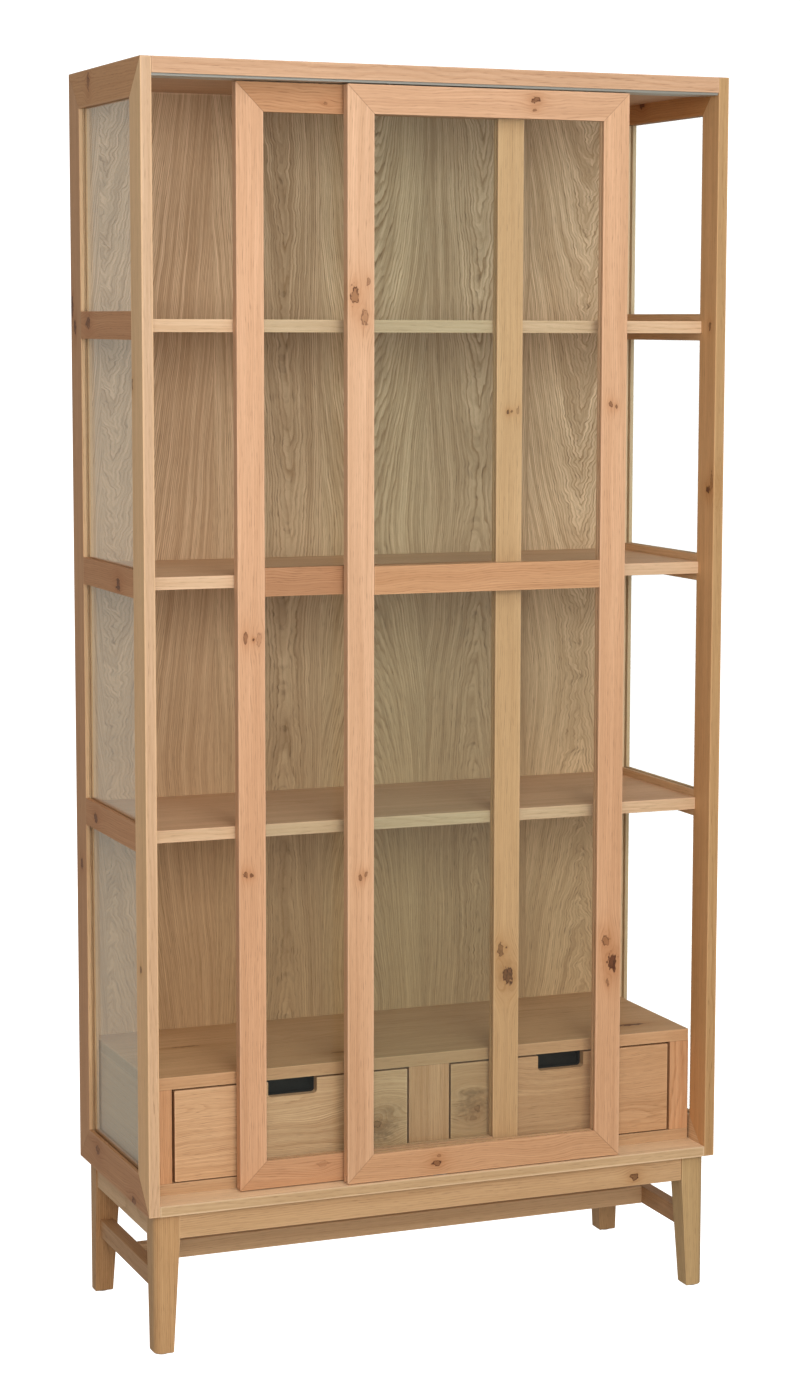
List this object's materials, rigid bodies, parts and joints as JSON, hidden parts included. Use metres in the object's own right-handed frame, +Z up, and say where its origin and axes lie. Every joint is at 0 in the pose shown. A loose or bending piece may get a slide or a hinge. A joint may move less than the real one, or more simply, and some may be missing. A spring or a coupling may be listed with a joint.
{
  "type": "bookcase with sliding doors",
  "caption": "Tall oak bookcase on tapered legs, glazed side frames, fixed shelves, glazed doors sliding past each other on a top track, and low drawers inside.",
  "frame": {"origin": "on the floor under the middle of the cabinet", "axes": "+Z up, the front with the doors faces -Y, +X to the right seen from the front"},
  "size_m": [1, 0.4, 2.035],
  "materials": {
    "solid_oak": "light natural oak, matt oiled, visible grain and small knots",
    "oak_veneer": "oak veneer with upright crown-cut grain, matt",
    "clear_glass": "clear float glass, 4 mm",
    "track_aluminium": "satin anodised extrusion",
    "steel_hardware": "zinc plated steel",
    "black_plastic": "matt black moulding",
    "grey_plastic": "grey nylon",
    "glide_felt": "dense felt pad"
  },
  "bodies": {
    "cabinet": {"back_panel": "oak_veneer", "base_corner_blocks": "solid_oak", "base_screws": "steel_hardware", "bottom_panel": "solid_oak", "door_floor_guide": "grey_plastic", "drawer_chest_base_rail": "solid_oak", "drawer_chest_stiles": "solid_oak", "drawer_chest_top": "solid_oak", "drawer_chest_uprights": "solid_oak", "drawer_runners": "solid_oak", "foot_glides": "glide_felt", "front_apron": "solid_oak", "front_left_leg": "solid_oak", "front_right_leg": "solid_oak", "left_side_bottom_rail": "solid_oak", "left_side_cross_rails": "solid_oak", "left_side_front_post": "solid_oak", "left_side_rear_post": "solid_oak", "left_side_top_rail": "solid_oak", "long_stretcher": "solid_oak", "lower_shelf": "solid_oak", "middle_shelf": "solid_oak", "rear_apron": "solid_oak", "rear_left_leg": "solid_oak", "rear_right_leg": "solid_oak", "right_side_bottom_rail": "solid_oak", "right_side_cross_rails": "solid_oak", "right_side_front_post": "solid_oak", "right_side_rear_post": "solid_oak", "right_side_top_rail": "solid_oak", "side_aprons": "solid_oak", "side_glass_panes": "clear_glass", "side_stretchers": "solid_oak", "top_panel": "solid_oak", "top_track": "track_aluminium", "upper_shelf": "solid_oak"},
    "front_door": {"front_door_bottom_rail": "solid_oak", "front_door_glass": "clear_glass", "front_door_hangers": "steel_hardware", "front_door_left_stile": "solid_oak", "front_door_mid_rail": "solid_oak", "front_door_right_stile": "solid_oak", "front_door_top_rail": "solid_oak"},
    "rear_door": {"rear_door_bottom_rail": "solid_oak", "rear_door_glass": "clear_glass", "rear_door_hangers": "steel_hardware", "rear_door_left_stile": "solid_oak", "rear_door_mid_rail": "solid_oak", "rear_door_right_stile": "solid_oak", "rear_door_top_rail": "solid_oak"},
    "left_drawer": {"left_drawer_back": "solid_oak", "left_drawer_bottom": "solid_oak", "left_drawer_finger_pull": "black_plastic", "left_drawer_front": "solid_oak", "left_drawer_sides": "solid_oak"},
    "right_drawer": {"right_drawer_back": "solid_oak", "right_drawer_bottom": "solid_oak", "right_drawer_finger_pull": "black_plastic", "right_drawer_front": "solid_oak", "right_drawer_sides": "solid_oak"}
  },
  "joints": [
    {"name": "front_door_slide", "type": "slide", "parent": "cabinet", "child": "front_door", "axis": [1, 0, 0], "range_m": [-0.317, 0.159]},
    {"name": "rear_door_slide", "type": "slide", "parent": "cabinet", "child": "rear_door", "axis": [1, 0, 0], "range_m": [-0.143, 0.333]},
    {"name": "left_drawer_slide", "type": "slide", "parent": "cabinet", "child": "left_drawer", "axis": [0, -1, 0], "range_m": [0, 0.0085]},
    {"name": "right_drawer_slide", "type": "slide", "parent": "cabinet", "child": "right_drawer", "axis": [0, -1, 0], "range_m": [0, 0.0085]}
  ]
}
